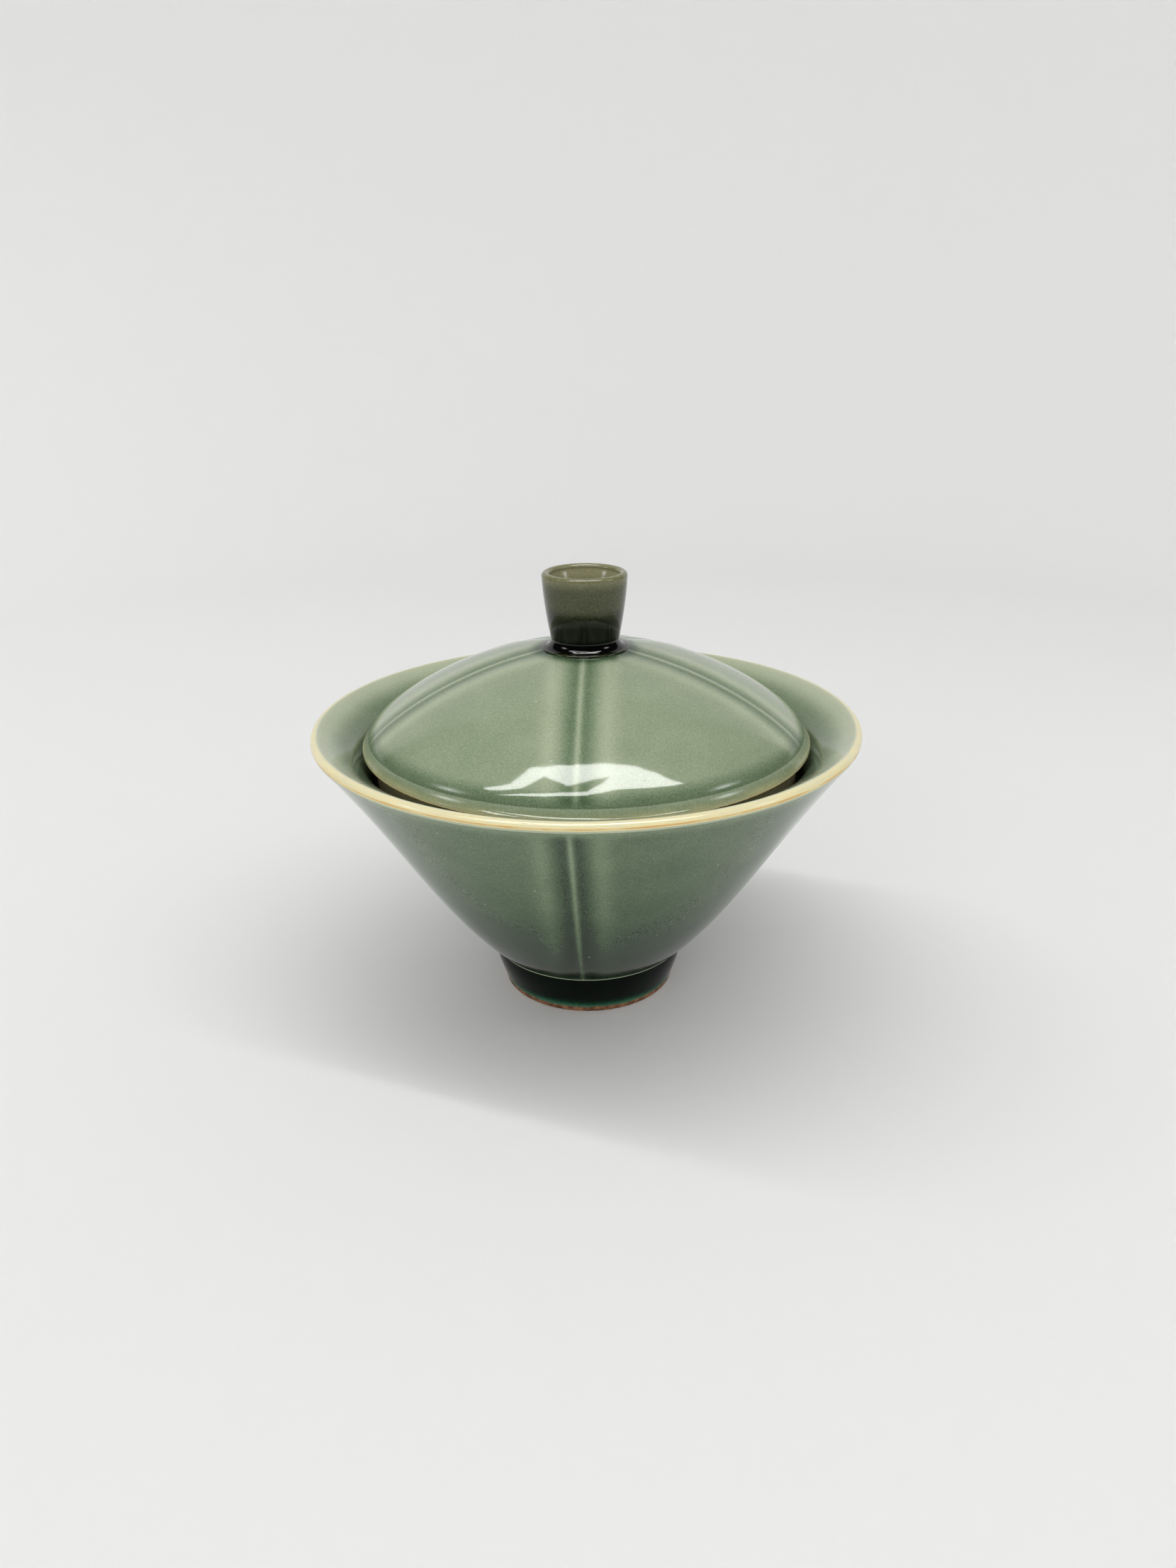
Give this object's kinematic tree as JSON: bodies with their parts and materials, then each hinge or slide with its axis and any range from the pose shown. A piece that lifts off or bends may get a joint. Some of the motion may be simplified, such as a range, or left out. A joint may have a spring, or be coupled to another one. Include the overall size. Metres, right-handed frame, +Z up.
{
  "type": "lidded rice bowl",
  "caption": "Conical covered bowl on a foot ring, with a domed lid that sits inside the rim on a locating flange and lifts off by a hollow knob.",
  "frame": {"origin": "on the bowl's axis, on the surface that the foot ring stands on", "axes": "+Z up along the bowl's axis; -Y towards the rib that faces the viewer"},
  "size_m": [0.115, 0.115, 0.0924],
  "materials": {
    "celadon_glaze": "gloss",
    "pooled_glaze": "gloss",
    "thin_glaze": "satin",
    "knob_glaze": "gloss"
  },
  "bodies": {
    "bowl": {"bowl_body": "celadon_glaze", "foot_ring": "pooled_glaze"},
    "lid": {"lid_dome": "celadon_glaze", "lid_flange": "thin_glaze", "lid_knob": "knob_glaze"}
  },
  "joints": [
    {"name": "lid_lift", "type": "slide", "parent": "bowl", "child": "lid", "axis": [0, 0, 1], "range_m": [0, 0.08]}
  ]
}
